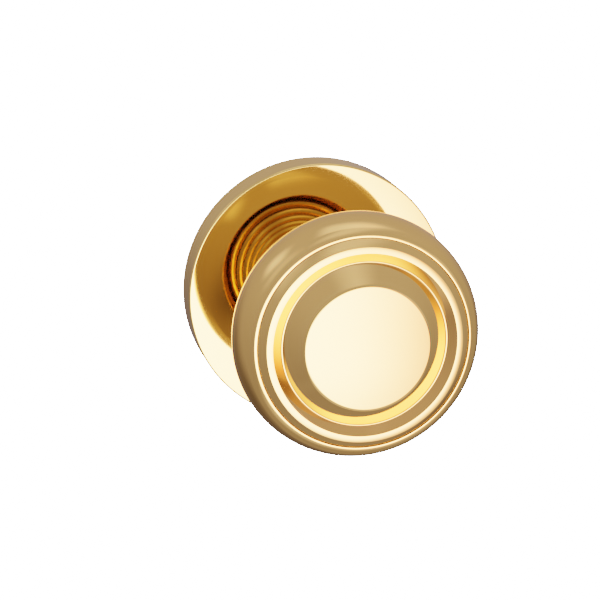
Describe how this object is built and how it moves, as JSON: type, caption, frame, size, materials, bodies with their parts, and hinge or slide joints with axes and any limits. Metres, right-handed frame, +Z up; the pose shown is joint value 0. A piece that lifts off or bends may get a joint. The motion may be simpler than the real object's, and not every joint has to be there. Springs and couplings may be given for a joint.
{
  "type": "door knob",
  "caption": "Round moulded barrel knob on a beaded neck and a plain round sprung rose, with a square spindle and threaded posts for fixing through a door.",
  "frame": {"origin": "on the spindle axis, in the plane of the door's face, where the back of the rose rests", "axes": "+Z up, +Y into the door along the spindle, -Y out of the door towards the knob, +X to the right as seen facing the knob"},
  "size_m": [0.0666, 0.1255, 0.0666],
  "materials": {
    "polished_brass": "polished and lacquered",
    "zinc_plated_steel": "zinc plated",
    "pressed_steel": "bright zinc plated, as pressed",
    "bare_steel": "drawn bar, oiled",
    "sintered_steel": "sintered, matt",
    "spring_steel": "drawn spring wire",
    "black_steel": "black oxide",
    "white_nylon": "moulded, satin"
  },
  "bodies": {
    "rose": {"rose_cover": "polished_brass", "rose_snap_ring": "spring_steel", "mounting_plate": "pressed_steel", "fixing_posts": "zinc_plated_steel", "cassette_housing": "pressed_steel", "cassette_screws": "zinc_plated_steel", "stop_pins": "bare_steel", "return_spring": "spring_steel", "front_bush": "white_nylon", "rear_bush": "white_nylon", "disc_spring": "spring_steel"},
    "knob": {"knob_neck": "polished_brass", "spindle_socket": "bare_steel", "set_screw": "black_steel", "spindle": "bare_steel", "drive_cam": "sintered_steel", "retaining_ring": "black_steel", "knob_shell": "polished_brass", "knob_face": "polished_brass", "backing_washer": "zinc_plated_steel", "lock_washer": "spring_steel", "neck_nut": "zinc_plated_steel", "locating_pins": "bare_steel"}
  },
  "joints": [
    {"name": "knob_turn", "type": "hinge", "parent": "rose", "child": "knob", "pos_m": [0, 0, 0], "axis": [0, -1, 0], "range_deg": [-60, 60], "stiffness_Nm_per_rad": 0.25, "deforming": ["return_spring"]}
  ]
}
